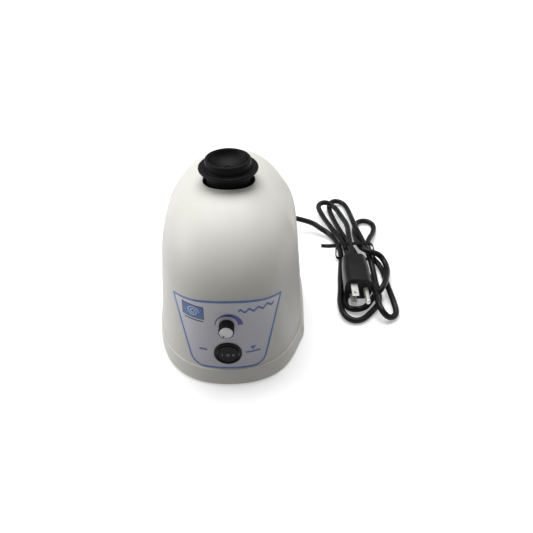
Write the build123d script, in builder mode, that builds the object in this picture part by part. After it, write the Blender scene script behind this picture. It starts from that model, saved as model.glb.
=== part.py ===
from build123d import *
from math import cos, pi, radians, sin, sqrt, tan
import os

# Vortex mixer. Origin at the middle of the footprint on the table, knob included;
# +Z up, the control panel faces -Y. Everything is in millimetres.

# ---- driving dimensions -------------------------------------------------------------
plinth_width = 136.0
plinth_depth = 172.0
knob_overhang = 8.0  # the origin lies this much behind the middle of the plinth, to allow for the knob
plinth_front = -(plinth_depth - knob_overhang) / 2
plinth_rear = plinth_front + plinth_depth
plinth_top = 16.7
foot_gap = 2.0  # plinth's underside above the table
axis_y = plinth_front + 100.0  # motor axis, and the middle of the curved front in plan
orbit = 2.5  # eccentric throw, so the cup orbits 5 mm across
cup_y = axis_y - orbit

# housing form
body_half = 66.0
body_front = plinth_front + 3.4
body_rear = plinth_rear - 2.6
crown_height = 148.7
wall = 2.6
draft = 0.082  # narrowing of the side walls per mm of height
front_draft = 0.02
shoulder_start = 80.0  # the straight walls end and begin to arch over
crown_front = axis_y - 10.0
crown_rear = axis_y + 26.0
shoulder_power = 3.7
back_power = 14.0
front_power = 2.4  # superellipse exponents of the plan, front and rear
rear_power = 3.0
ledge = 1.0  # visible ledge of the plinth round the housing
seat_drop = 2.0  # housing's lower edge sits this far inside the plinth
neck_hole_radius = 22.5

# motor stack heights
ballast_bottom = foot_gap + 3.0
ballast_top = ballast_bottom + 8.0
motor_plate_bottom = 30.0
motor_plate_top = 33.0
stator_bottom = 45.0
stator_top = 77.0
upper_bracket_top = 97.0
shaft_radius = 4.0
running_gap = 0.03
bolt_offset = 26.0
stator_side = 62.0

# head
press_travel = 2.5
hub_bottom = 109.0
pin_shoulder = 133.0
bearing_height = 7.0
bearing_radius = 11.0
rim_height = 167.0
sleeve_radius = 18.5
sleeve_bottom = 139.0
flange_height = 157.0

# controls
switch_height = 35.0
knob_height = 65.0
spot_face_y = body_front + 1.2
board_y = body_front + 11.0

# mains lead
cord_diameter = 6.0
gland_x = 14.0
gland_height = 28.0
gland_end_y = 115.3
gland_inside = 5.0  # length of the gland's barrel behind the wall

os.makedirs("parts", exist_ok=True)


def save(part, name):
    part.label = name
    export_step(part, "parts/" + name + ".step")


# ---- outlines shared by the plinth, the housing and the label -------------------------
def half_oval(half, reach, power, side):
    """Points of half a superellipse; side is -1 for the front half and 1 for the rear."""
    angles = [(pi / 8) * step for step in range(1, 4)]
    quarter = [
        (half * sin(angle) ** (2 / power), axis_y + side * reach * cos(angle) ** (2 / power))
        for angle in angles
    ]
    mirrored = [(-x, y) for x, y in reversed(quarter)]
    return [(-half, axis_y)] + mirrored + [(0, axis_y + side * reach)] + quarter + [(half, axis_y)]


def plan_outline(height, half, front, rear):
    """Face of the egg-like plan: widest at the motor's axis, flatter towards the rear."""
    with BuildSketch(Plane.XY.offset(height)) as outline:
        with BuildLine():
            Spline(*half_oval(half, axis_y - front, front_power, -1), tangents=[(0, -1), (0, 1)])
            Spline(*half_oval(half, rear - axis_y, rear_power, 1), tangents=[(0, 1), (0, -1)])
        make_face()
    return outline.sketch


def housing_size(height):
    """Half width, front and rear of the housing at a height."""
    rise = max(0.0, height - shoulder_start) / (crown_height - shoulder_start)
    wall_height = min(height, shoulder_start) - plinth_top
    half = (body_half - draft * (height - plinth_top)) * sqrt(1 - rise**shoulder_power)
    wall_front = body_front + front_draft * wall_height
    front = crown_front - (crown_front - wall_front) * sqrt(1 - rise**2)
    rear = crown_rear + (body_rear - crown_rear) * sqrt(1 - rise**back_power)
    return half, front, rear


def housing_section(height, inset):
    half, front, rear = housing_size(height)
    drop = inset * (height / crown_height) ** 4
    return plan_outline(height - drop, half - inset, front + inset, rear - inset)


def arch_level(angle):
    return shoulder_start + (crown_height - shoulder_start) * sin(radians(angle))


housing_bottom = plinth_top - seat_drop
inner_levels = [arch_level(angle) for angle in (0, 20, 38, 54, 68, 79)]
outer_levels = [arch_level(angle) for angle in (0, 14, 28, 42, 55, 66, 75, 82, 87.2)]

with BuildPart() as housing_form:
    loft(sections=[housing_section(level, 0) for level in (housing_bottom, shoulder_start)], ruled=True)
    loft(sections=[housing_section(level, 0) for level in outer_levels])

with BuildPart() as cavity_form:
    shoulder_section = housing_section(shoulder_start, wall)
    foot_half, foot_front, foot_rear = housing_size(housing_bottom)
    foot_section = plan_outline(
        housing_bottom - 1, foot_half - wall, foot_front + wall, foot_rear - wall
    )
    loft(sections=[foot_section, shoulder_section], ruled=True)
    loft(sections=[housing_section(level, wall) for level in inner_levels])

# screw posts stand against the inside of the walls, trimmed to the housing's own form
housing_posts = [(57.0, 58.0), (-57.0, 58.0), (49.0, -34.0), (-49.0, -34.0)]
post_radius = 5.5
with BuildPart() as post_form:
    with Locations(*[(x, y, housing_bottom) for x, y in housing_posts]):
        Cylinder(post_radius, 26, align=(Align.CENTER, Align.CENTER, Align.MIN))
    with Locations(*[(1.12 * x, y, housing_bottom) for x, y in housing_posts]):
        Box(12, 3, 26, align=(Align.CENTER, Align.CENTER, Align.MIN))
    add(housing_form.part, mode=Mode.INTERSECT)

board_posts = [(x, z) for x in (-23.0, 23.0) for z in (53.5, 84.5)]
with BuildPart() as board_post_form:
    with BuildSketch(Plane.XZ.offset(-board_y)):
        with Locations(*board_posts):
            Circle(3.5)
    extrude(amount=6.5)
    add(housing_form.part, mode=Mode.INTERSECT)

# ---- housing shell ----------------------------------------------------------------------
with BuildPart() as housing_shell:
    add(housing_form.part)
    add(cavity_form.part, mode=Mode.SUBTRACT)
    with BuildSketch(Plane.XY.offset(plinth_top)):  # neck opening in the crown
        with Locations((0, axis_y)):
            Circle(neck_hole_radius)
    extrude(amount=crown_height, mode=Mode.SUBTRACT)
    add(post_form.part)
    with BuildSketch(Plane.XY.offset(housing_bottom)):  # pilot holes in the posts
        with Locations(*housing_posts):
            Circle(1.7)
    extrude(amount=20, mode=Mode.SUBTRACT)
    add(board_post_form.part)
    with BuildSketch(Plane.XZ.offset(-board_y)):  # pilot holes for the control board
        with Locations(*board_posts):
            Circle(1.2)
    extrude(amount=5, mode=Mode.SUBTRACT)
    with BuildSketch(Plane.XZ.offset(-spot_face_y)):  # flats under the switch and the knob
        with Locations((0, switch_height)):
            Circle(11.8)
        with Locations((0, knob_height)):
            Circle(7.2)
    extrude(amount=10, mode=Mode.SUBTRACT)
    with BuildSketch(Plane.XZ.offset(-spot_face_y)):  # holes for the switch and the shaft
        with Locations((0, switch_height)):
            Circle(10.1)
        with Locations((0, knob_height)):
            Circle(3.5)
    extrude(amount=-6, mode=Mode.SUBTRACT)
    with BuildSketch(Plane.XZ.offset(-body_rear - 2)):  # hole for the cord gland
        with Locations((gland_x, gland_height)):
            Circle(5.1)
    extrude(amount=8, mode=Mode.SUBTRACT)
save(housing_shell.part, "housing_shell")

# ---- front label: a thin overlay wrapped round the lower front --------------------------
label_proud = 0.3
label_gap = 0.08
with BuildPart() as label_inside:  # the housing's own form, a little larger
    loft(
        sections=[housing_section(level, -label_gap) for level in (housing_bottom, shoulder_start)],
        ruled=True,
    )
    loft(sections=[housing_section(level, -label_gap) for level in outer_levels])
with BuildPart() as front_label:
    loft(
        sections=[housing_section(level, -label_proud) for level in (housing_bottom, shoulder_start)],
        ruled=True,
    )
    loft(sections=[housing_section(level, -label_proud) for level in outer_levels])
    add(label_inside.part, mode=Mode.SUBTRACT)
    with BuildSketch(Plane.XZ.offset(-body_front)):
        with BuildLine():
            Polyline((-45.5, 87.5), (-31, 17.5), (31, 17.5), (45.5, 87.5), close=True)
        make_face()
        fillet(vertices().group_by(Axis.Y)[0], 12)
        fillet(vertices().group_by(Axis.Y)[-1], 2)
    extrude(amount=30, both=True, mode=Mode.INTERSECT)
    with BuildSketch(Plane.XZ.offset(-spot_face_y)):
        with Locations((0, switch_height)):
            Circle(11.8)
        with Locations((0, knob_height)):
            Circle(7.2)
    extrude(amount=10, both=True, mode=Mode.SUBTRACT)
save(front_label.part, "front_label")

# ---- base pan -----------------------------------------------------------------------------
foot_places = [(41.0, -52.0), (-41.0, -52.0), (48.0, 68.0), (-48.0, 68.0)]
pan_floor = foot_gap + 3.0
vent_places = [(0, axis_y + step) for step in (-18, -9, 0, 9, 18)]
ballast_holes = [(x, axis_y + y) for x in (-34, 34) for y in (-50, 48)]
with BuildPart() as base_pan:
    lower = plan_outline(foot_gap, plinth_width / 2, plinth_front, plinth_rear)
    upper = plan_outline(
        plinth_top, body_half + ledge, body_front - ledge - 0.8, body_rear + ledge + 0.4
    )
    loft(sections=[lower, upper], ruled=True)
    inside = plan_outline(
        pan_floor, body_half - wall - 1, body_front + wall + 1, body_rear - wall - 1
    )
    seat = plan_outline(housing_bottom, body_half + 0.25, body_front - 0.1, body_rear + 0.1)
    extrude(inside, amount=plinth_top, mode=Mode.SUBTRACT)
    extrude(seat, amount=plinth_top, mode=Mode.SUBTRACT)
    with BuildSketch(Plane.XY.offset(pan_floor)):  # bosses under the housing's posts
        with Locations(*housing_posts):
            Circle(post_radius - 0.5)
    extrude(amount=housing_bottom - pan_floor)
    with BuildSketch(Plane.XY.offset(foot_gap)):
        with Locations(*housing_posts):
            Circle(2.1)
        with Locations(*vent_places):
            SlotOverall(34, 4)
        with Locations(*foot_places):
            Circle(1.6)
        with Locations(*ballast_holes):
            Circle(2.1)
    extrude(amount=plinth_top, mode=Mode.SUBTRACT)
    with BuildSketch(Plane.XY.offset(foot_gap)):  # heads of the housing's screws
        with Locations(*housing_posts):
            Circle(4.0)
        with Locations(*ballast_holes):
            Circle(3.8)
    extrude(amount=2.2, mode=Mode.SUBTRACT)
    with BuildSketch(Plane.XY.offset(foot_gap)):  # shallow pockets for the feet
        with Locations(*foot_places):
            Circle(8.1)
    extrude(amount=1.2, mode=Mode.SUBTRACT)
    with BuildSketch(Plane.XY.offset(pan_floor)):  # bosses for the feet's screws
        with Locations(*foot_places):
            Circle(4.5)
            Circle(1.6, mode=Mode.SUBTRACT)
    extrude(amount=8)
save(base_pan.part, "base_pan")


# ---- fasteners and other repeated forms -----------------------------------------------------
def pan_head_screws(name, places, head_height, head_radius, shank_radius, shank, up):
    """Screws at (x, y, z of the head's bearing face); up is 1 when the heads point up."""
    with BuildPart() as screws:
        for x, y, z in places:
            head_low = z if up > 0 else z - head_height
            shank_low = z - shank if up > 0 else z
            with BuildSketch(Plane.XY.offset(head_low)):
                with Locations((x, y)):
                    Circle(head_radius)
            extrude(amount=head_height)
            with BuildSketch(Plane.XY.offset(shank_low)):
                with Locations((x, y)):
                    Circle(shank_radius)
            extrude(amount=shank)
            slot_floor = z + head_height if up > 0 else z - head_height
            with BuildSketch(Plane.XY.offset(slot_floor)):  # cross recess
                with Locations((x, y)):
                    Rectangle(head_radius * 1.1, 0.8)
                    Rectangle(0.8, head_radius * 1.1)
            extrude(amount=-up * head_height * 0.5, mode=Mode.SUBTRACT)
    save(screws.part, name)


def ball_bearing(name, y, bottom, bore_radius):
    """Shielded ball bearing, with a shallow ring groove in each face."""
    with BuildPart() as bearing:
        with BuildSketch(Plane.XY.offset(bottom)):
            with Locations((0, y)):
                Circle(bearing_radius)
                Circle(bore_radius, mode=Mode.SUBTRACT)
        extrude(amount=bearing_height)
        for level, depth in ((bottom, 0.5), (bottom + bearing_height, -0.5)):
            with BuildSketch(Plane.XY.offset(level)):
                with Locations((0, y)):
                    Circle(bearing_radius - 2)
                    Circle(bore_radius + 2, mode=Mode.SUBTRACT)
            extrude(amount=depth, mode=Mode.SUBTRACT)
    save(bearing.part, name)


# ---- feet and the screws of the base ------------------------------------------------------
foot_height = foot_gap + 1.2
with BuildPart() as rubber_feet:
    with BuildSketch():
        with Locations(*foot_places):
            Circle(8.0)
    extrude(amount=foot_height)
    chamfer(faces().group_by(Axis.Z)[0].edges(), 0.6)
    with BuildSketch():
        with Locations(*foot_places):
            Circle(4.2)
    extrude(amount=1.9, mode=Mode.SUBTRACT)
    with BuildSketch():
        with Locations(*foot_places):
            Circle(1.7)
    extrude(amount=foot_height, mode=Mode.SUBTRACT)
save(rubber_feet.part, "rubber_feet")

foot_screw_seats = [(x, y, 1.9) for x, y in foot_places]
pan_head_screws("foot_screws", foot_screw_seats, 1.6, 3.2, 1.55, 8, -1)
housing_screw_seats = [(x, y, foot_gap + 2.2) for x, y in housing_posts]
pan_head_screws("housing_screws", housing_screw_seats, 1.8, 3.4, 1.65, 26, -1)
ballast_screw_seats = [(x, y, foot_gap + 2.2) for x, y in ballast_holes]
pan_head_screws("ballast_screws", ballast_screw_seats, 1.8, 3.4, 1.9, 7.5, -1)

# ---- ballast plate and the motor's mounting -------------------------------------------------
mount_places = [(x, axis_y + y) for x in (-36, 36) for y in (-34, 34)]
with BuildPart() as ballast_plate:
    with BuildSketch(Plane.XY.offset(ballast_bottom)):
        with Locations((0, axis_y - 3)):
            RectangleRounded(84, 124, 6)
        with Locations((0, axis_y)):
            Circle(27, mode=Mode.SUBTRACT)
        with Locations(*ballast_holes):
            Circle(1.9, mode=Mode.SUBTRACT)
        with Locations(*mount_places):
            Circle(1.9, mode=Mode.SUBTRACT)
    extrude(amount=ballast_top - ballast_bottom)
save(ballast_plate.part, "ballast_plate")

with BuildPart() as vibration_mounts:
    with BuildSketch(Plane.XY.offset(ballast_top)):
        with Locations(*mount_places):
            Circle(7)
            Circle(1.9, mode=Mode.SUBTRACT)
    extrude(amount=motor_plate_bottom - ballast_top)
    waist = (ballast_top + motor_plate_bottom) / 2
    with BuildSketch(Plane.XY.offset(waist - 3)):  # waist of each rubber mount
        with Locations(*mount_places):
            Circle(7.5)
            Circle(5.6, mode=Mode.SUBTRACT)
    extrude(amount=6, mode=Mode.SUBTRACT)
save(vibration_mounts.part, "vibration_mounts")

mount_screw_seats = [(x, y, motor_plate_top) for x, y in mount_places]
pan_head_screws("mount_screws", mount_screw_seats, 2.6, 3.6, 1.85, 24, 1)

bolt_places = [(x, axis_y + y) for x in (-bolt_offset, bolt_offset) for y in (-bolt_offset, bolt_offset)]
with BuildPart() as motor_plate:
    with BuildSketch(Plane.XY.offset(motor_plate_bottom)):
        with Locations((0, axis_y)):
            RectangleRounded(88, 84, 8)
            Circle(8, mode=Mode.SUBTRACT)
            with PolarLocations(20, 8):
                Circle(4, mode=Mode.SUBTRACT)
        with Locations(*mount_places):
            Circle(1.9, mode=Mode.SUBTRACT)
        with Locations(*bolt_places):
            Circle(2.05, mode=Mode.SUBTRACT)
    extrude(amount=motor_plate_top - motor_plate_bottom)
save(motor_plate.part, "motor_plate")

# ---- motor: brackets, stator and coils ------------------------------------------------------
post_side = 3.5
lower_bearing_bottom = motor_plate_top + 1.0
with BuildPart() as lower_bracket:
    with BuildSketch(Plane.XY.offset(motor_plate_top)):
        with Locations((0, axis_y)):
            RectangleRounded(stator_side, stator_side, 6)
    extrude(amount=4)
    with BuildSketch(Plane.XY.offset(motor_plate_top)):
        with Locations(*bolt_places):
            Circle(post_side)
    extrude(amount=stator_bottom - motor_plate_top)
    with BuildSketch(Plane.XY.offset(motor_plate_top)):
        with Locations((0, axis_y)):
            Circle(14)
    extrude(amount=lower_bearing_bottom + bearing_height - motor_plate_top)
    with BuildSketch(Plane.XY.offset(lower_bearing_bottom)):
        with Locations((0, axis_y)):
            Circle(bearing_radius)
    extrude(amount=bearing_height, mode=Mode.SUBTRACT)
    with BuildSketch(Plane.XY.offset(motor_plate_top)):
        with Locations((0, axis_y)):
            Circle(8)
            with PolarLocations(21, 8, start_angle=22.5):
                Circle(4)
        with Locations(*bolt_places):
            Circle(2.05)
    extrude(amount=20, mode=Mode.SUBTRACT)
save(lower_bracket.part, "lower_bracket")

upper_bearing_bottom = upper_bracket_top - 1.0 - bearing_height
with BuildPart() as upper_bracket:
    with BuildSketch(Plane.XY.offset(upper_bracket_top - 4)):
        with Locations((0, axis_y)):
            RectangleRounded(stator_side, stator_side, 6)
    extrude(amount=4)
    with BuildSketch(Plane.XY.offset(stator_top)):
        with Locations(*bolt_places):
            Circle(post_side)
    extrude(amount=upper_bracket_top - stator_top)
    with BuildSketch(Plane.XY.offset(upper_bearing_bottom)):
        with Locations((0, axis_y)):
            Circle(14)
    extrude(amount=upper_bracket_top - upper_bearing_bottom)
    with BuildSketch(Plane.XY.offset(upper_bearing_bottom)):
        with Locations((0, axis_y)):
            Circle(bearing_radius)
    extrude(amount=bearing_height, mode=Mode.SUBTRACT)
    with BuildSketch(Plane.XY.offset(stator_top)):
        with Locations((0, axis_y)):
            Circle(8)
            with PolarLocations(21, 8, start_angle=22.5):
                Circle(4)
        with Locations(*bolt_places):
            Circle(2.05)
    extrude(amount=30, mode=Mode.SUBTRACT)
save(upper_bracket.part, "upper_bracket")

slot_count = 12
slot_ring = 23.6
bore_radius = 19.5
with BuildPart() as stator_core:
    with BuildSketch(Plane.XY.offset(stator_bottom)):
        with Locations((0, axis_y)):
            RectangleRounded(stator_side, stator_side, 5)
            Circle(bore_radius, mode=Mode.SUBTRACT)
            with PolarLocations(slot_ring, slot_count):
                Circle(2.3, mode=Mode.SUBTRACT)
            with PolarLocations((slot_ring + bore_radius) / 2 - 1, slot_count):
                Rectangle(5, 1.4, mode=Mode.SUBTRACT)
        with Locations(*bolt_places):
            Circle(2.05, mode=Mode.SUBTRACT)
    extrude(amount=stator_top - stator_bottom)
save(stator_core.part, "stator_core")

with BuildPart() as stator_coils:
    for level, height in ((stator_bottom - 6.5, 6.3), (stator_top + 0.2, 6.3)):
        with BuildSketch(Plane.XY.offset(level)):
            with Locations((0, axis_y)):
                Circle(28.5)
                Circle(20.8, mode=Mode.SUBTRACT)
        extrude(amount=height)
    fillet(edges().filter_by(GeomType.CIRCLE), 2.2)
    with BuildSketch(Plane.XY.offset(stator_bottom - 2)):  # wires through the slots
        with Locations((0, axis_y)):
            with PolarLocations(slot_ring, slot_count):
                Circle(2.1)
    extrude(amount=stator_top - stator_bottom + 4)
save(stator_coils.part, "stator_coils")

bolt_seats = [(x, y, upper_bracket_top) for x, y in bolt_places]
pan_head_screws("motor_bolts", bolt_seats, 2.6, 3.6, 2.0, upper_bracket_top - 27, 1)
ball_bearing("lower_bearing", axis_y, lower_bearing_bottom, shaft_radius + running_gap)
ball_bearing("upper_bearing", axis_y, upper_bearing_bottom, shaft_radius + running_gap)

# ---- rotor ------------------------------------------------------------------------------------
rotor_radius = 19.0
with BuildPart() as rotor_core:
    with BuildSketch(Plane.XY.offset(stator_bottom)):
        with Locations((0, axis_y)):
            Circle(rotor_radius)
            Circle(shaft_radius, mode=Mode.SUBTRACT)
    extrude(amount=stator_top - stator_bottom)
save(rotor_core.part, "rotor_core")

with BuildPart() as rotor_end_rings:
    for level, height in ((stator_bottom - 2.5, 2.5), (stator_top, 2.5)):
        with BuildSketch(Plane.XY.offset(level)):
            with Locations((0, axis_y)):
                Circle(rotor_radius)
                Circle(12, mode=Mode.SUBTRACT)
        extrude(amount=height)
save(rotor_end_rings.part, "rotor_end_rings")

shaft_bottom = 16.0
shaft_top = 121.0
flat_depth = 0.8
with BuildPart() as motor_shaft:
    with BuildSketch(Plane.XY.offset(shaft_bottom)):
        with Locations((0, axis_y)):
            Circle(shaft_radius)
    extrude(amount=shaft_top - shaft_bottom)
    chamfer(edges().filter_by(GeomType.CIRCLE), 0.5)
    with BuildSketch(Plane.XY.offset(hub_bottom - 4)):  # driving flat
        with Locations((0, axis_y + shaft_radius)):
            Rectangle(2 * shaft_radius, 2 * flat_depth)
    extrude(amount=shaft_top, mode=Mode.SUBTRACT)
save(motor_shaft.part, "motor_shaft")

fan_bottom = 17.0
fan_top = 27.0
with BuildPart() as cooling_fan:
    with BuildSketch(Plane.XY.offset(fan_top - 1.5)):
        with Locations((0, axis_y)):
            Circle(22)
    extrude(amount=1.5)
    with BuildSketch(Plane.XY.offset(fan_bottom)):
        with Locations((0, axis_y)):
            Circle(8)
    extrude(amount=fan_top - fan_bottom)
    with BuildSketch(Plane.XY.offset(fan_bottom + 1)):
        with Locations((0, axis_y)):
            with PolarLocations(17, 9):
                Rectangle(21, 1.4, rotation=12)
    extrude(amount=fan_top - fan_bottom - 1)
    with BuildSketch(Plane.XY.offset(fan_bottom)):
        with Locations((0, axis_y)):
            Circle(shaft_radius)
    extrude(amount=fan_top, mode=Mode.SUBTRACT)
save(cooling_fan.part, "cooling_fan")

spring_bottom = 100.5
with BuildPart() as spring_collar:
    with BuildSketch(Plane.XY.offset(upper_bracket_top + 0.5)):
        with Locations((0, axis_y)):
            Circle(9)
            Circle(shaft_radius, mode=Mode.SUBTRACT)
    extrude(amount=spring_bottom - upper_bracket_top - 0.5)
save(spring_collar.part, "spring_collar")

# ---- press spring: holds the hub up, pressed when the cup is pushed down --------------------
wire_radius = 0.6
coil_radius = 6.4
spring_gap = 0.1
spring_height = hub_bottom - spring_bottom - 2 * wire_radius - 2 * spring_gap
with BuildPart() as press_spring:
    with BuildLine(Plane(origin=(0, axis_y, spring_bottom + wire_radius + spring_gap))) as turns:
        Helix(pitch=spring_height / 3, height=spring_height, radius=coil_radius)
    with BuildSketch(Plane(origin=turns.line @ 0, z_dir=turns.line % 0)):
        Circle(wire_radius)
    sweep(path=turns.line, is_frenet=True)
save(press_spring.part, "press_spring")

# ---- eccentric hub --------------------------------------------------------------------------------
pin_top = pin_shoulder + bearing_height + 0.4
hub_top = 128.0
with BuildPart() as eccentric_hub:
    with BuildSketch(Plane.XY.offset(hub_bottom)):
        with Locations((0, axis_y)):
            Circle(17)
    extrude(amount=3)
    with BuildSketch(Plane.XY.offset(hub_bottom)):
        with Locations((0, axis_y)):
            Circle(11)
    extrude(amount=hub_top - hub_bottom)
    with BuildSketch(Plane.XY.offset(hub_top)):
        with Locations((0, cup_y)):
            Circle(6.5)
    extrude(amount=pin_shoulder - hub_top)
    with BuildSketch(Plane.XY.offset(pin_shoulder)):
        with Locations((0, cup_y)):
            Circle(shaft_radius)
    extrude(amount=pin_top - pin_shoulder)
    with BuildSketch(Plane.XY.offset(hub_bottom)):  # bore with a flat that takes the drive
        with Locations((0, axis_y)):
            Circle(shaft_radius + running_gap)
        with Locations((0, axis_y + shaft_radius + 0.2)):
            Rectangle(2 * shaft_radius, 2 * flat_depth, mode=Mode.SUBTRACT)
    extrude(amount=shaft_top + press_travel + 1 - hub_bottom, mode=Mode.SUBTRACT)
    with BuildSketch(Plane.XY.offset(pin_top)):  # thread of the pin's screw
        with Locations((0, cup_y)):
            Circle(1.6)
    extrude(amount=-8, mode=Mode.SUBTRACT)
save(eccentric_hub.part, "eccentric_hub")

with BuildPart() as counterweight:
    with BuildSketch(Plane.XY.offset(hub_bottom + 3)):
        with Locations((0, axis_y)):
            Circle(17)
            Circle(11, mode=Mode.SUBTRACT)
        with Locations((0, axis_y - 10)):
            Rectangle(40, 20, mode=Mode.SUBTRACT)
        with Locations((-9, axis_y + 10.6), (9, axis_y + 10.6)):
            Circle(1.3, mode=Mode.SUBTRACT)
    extrude(amount=12)
save(counterweight.part, "counterweight")
weight_seats = [(x, axis_y + 10.6, hub_bottom + 15) for x in (-9, 9)]
pan_head_screws("counterweight_screws", weight_seats, 1.6, 2.3, 1.25, 11, 1)
with BuildPart() as pin_screw:
    with BuildSketch(Plane.XY.offset(pin_top)):
        with Locations((0, cup_y)):
            Circle(6.0)
    extrude(amount=0.8)
    with BuildSketch(Plane.XY.offset(pin_top + 0.8)):
        with Locations((0, cup_y)):
            Circle(3.2)
    extrude(amount=2.4)
    with BuildSketch(Plane.XY.offset(pin_top)):
        with Locations((0, cup_y)):
            Circle(1.55)
    extrude(amount=-7)
    with BuildSketch(Plane.XY.offset(pin_top + 3.2)):
        with Locations((0, cup_y)):
            RegularPolygon(1.5, 6)
    extrude(amount=-1.5, mode=Mode.SUBTRACT)
save(pin_screw.part, "pin_screw")

# ---- cup head: bearing, holder, circlip and rubber cup --------------------------------------
ball_bearing("cup_bearing", cup_y, pin_shoulder, shaft_radius + running_gap)
holder_radius = 15.0
holder_bottom = pin_shoulder - 3.0
holder_top = flange_height - 2.0
with BuildPart() as cup_holder:
    with BuildSketch(Plane.XY.offset(holder_bottom)):
        with Locations((0, cup_y)):
            Circle(holder_radius)
    extrude(amount=holder_top - holder_bottom)
    chamfer(faces().sort_by(Axis.Z)[-1].edges(), 1)
    with BuildSketch(Plane.XY.offset(holder_bottom)):
        with Locations((0, cup_y)):
            Circle(bearing_radius)
    extrude(amount=pin_shoulder + bearing_height - holder_bottom, mode=Mode.SUBTRACT)
    with BuildSketch(Plane.XY.offset(pin_shoulder + bearing_height)):
        with Locations((0, cup_y)):
            Circle(9.0)
    extrude(amount=6, mode=Mode.SUBTRACT)
    with BuildSketch(Plane.XY.offset(pin_shoulder - 1.2)):  # groove for the circlip
        with Locations((0, cup_y)):
            Circle(bearing_radius + 0.8)
    extrude(amount=1.2, mode=Mode.SUBTRACT)
save(cup_holder.part, "cup_holder")

with BuildPart() as holder_circlip:
    with BuildSketch(Plane.XY.offset(pin_shoulder - 1.1)):
        with Locations((0, cup_y)):
            Circle(bearing_radius + 0.6)
            Circle(bearing_radius - 1.4, mode=Mode.SUBTRACT)
        with Locations((0, cup_y - bearing_radius)):
            Rectangle(5, 6, mode=Mode.SUBTRACT)
    extrude(amount=1.0)
save(holder_circlip.part, "holder_circlip")

rim_radius = 19.5
bowl_radius = 16.5
bowl_floor = 158.2
flange_radius = 25.4
with BuildPart() as rubber_cup:
    with BuildSketch(Plane.XZ.offset(-cup_y)):
        with BuildLine():
            Polyline(
                (0, holder_top),
                (holder_radius, holder_top),
                (holder_radius, sleeve_bottom),
                (sleeve_radius, sleeve_bottom),
                (sleeve_radius, flange_height - 2.5),
                (flange_radius - 2.0, flange_height),
                (flange_radius, flange_height + 0.6),
                (flange_radius, flange_height + 2.2),
                (flange_radius - 1.2, flange_height + 2.8),
                (sleeve_radius + 1.4, flange_height + 1.9),
                (rim_radius, rim_height - 1.2),
                (rim_radius - 1.1, rim_height),
                (bowl_radius, rim_height - 0.4),
            )
            ThreePointArc(
                (bowl_radius, rim_height - 0.4),
                (bowl_radius * 0.62, bowl_floor + 3.0),
                (3.2, bowl_floor + 0.3),
            )
            Line((3.2, bowl_floor + 0.3), (2.4, bowl_floor - 1.0))
            Line((2.4, bowl_floor - 1.0), (0, bowl_floor - 1.0))
            Line((0, bowl_floor - 1.0), (0, holder_top))
        make_face()
    revolve(axis=Axis((0, cup_y, 0), (0, 0, 1)))
save(rubber_cup.part, "rubber_cup")

# ---- touch switch under the hub ---------------------------------------------------------------
touch_y = axis_y + 34.0  # lever's pivot
with BuildPart() as touch_bracket:
    with BuildSketch(Plane.XY.offset(upper_bracket_top)):
        with Locations((0, axis_y + 28)):
            Rectangle(24, 20)
        with Locations(*bolt_places):
            Circle(4.2, mode=Mode.SUBTRACT)
    extrude(amount=1.2)
    with BuildSketch(Plane.XY.offset(upper_bracket_top)):
        with Locations((0, axis_y + 38.6)):
            Rectangle(24, 1.2)
    extrude(amount=9)
save(touch_bracket.part, "touch_bracket")

touch_top = 103.0
lever_height = 106.2
with BuildPart() as touch_switch:
    with BuildSketch(Plane.XY.offset(upper_bracket_top + 1.2)):
        with Locations((0, axis_y + 28.6)):
            Rectangle(12.8, 18.8)
    extrude(amount=touch_top - upper_bracket_top - 1.2)
    with BuildSketch(Plane.XY.offset(touch_top)):  # ears that hold the lever's pin
        with Locations((-5.4, touch_y), (5.4, touch_y)):
            Rectangle(2, 4)
    extrude(amount=4.6)
    with BuildSketch(Plane.YZ.offset(-7)):
        with Locations((touch_y, lever_height)):
            Circle(0.8)
    extrude(amount=14, mode=Mode.SUBTRACT)
save(touch_switch.part, "touch_switch")

with BuildPart() as touch_lever:
    with BuildSketch(Plane.YZ.offset(-6.3)):  # pivot pin
        with Locations((touch_y, lever_height)):
            Circle(0.75)
    extrude(amount=12.6)
    with BuildSketch(Plane.YZ.offset(-3)):
        with BuildLine():
            Polyline(
                (touch_y + 1.2, lever_height - 0.6),
                (touch_y + 1.2, lever_height + 0.6),
                (axis_y + 20, lever_height + 0.6),
                (axis_y + 15.6, hub_bottom - 0.4),
                (axis_y + 14.2, hub_bottom - 0.4),
                (axis_y + 13.4, hub_bottom - 1.4),
                (axis_y + 19.4, lever_height - 0.6),
                close=True,
            )
        make_face()
    extrude(amount=6)
save(touch_lever.part, "touch_lever")

# ---- speed control ----------------------------------------------------------------------------------
with BuildPart() as control_board:
    with BuildSketch(Plane.XZ.offset(-board_y)):
        with Locations((0, 69)):
            RectangleRounded(53, 40, 2)
        with Locations(*board_posts):
            Circle(1.3, mode=Mode.SUBTRACT)
    extrude(amount=-1.6)
save(control_board.part, "control_board")

board_screw_radius = 2.4
with BuildPart() as board_screws:
    with BuildSketch(Plane.XZ.offset(-board_y - 1.6)):
        with Locations(*board_posts):
            Circle(board_screw_radius)
    extrude(amount=-1.6)
    with BuildSketch(Plane.XZ.offset(-board_y - 1.6)):
        with Locations(*board_posts):
            Circle(1.15)
    extrude(amount=6)
    with BuildSketch(Plane.XZ.offset(-board_y - 3.2)):
        with Locations(*board_posts):
            Rectangle(2.8, 0.7)
            Rectangle(0.7, 2.8)
    extrude(amount=0.8, mode=Mode.SUBTRACT)
save(board_screws.part, "board_screws")

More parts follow.
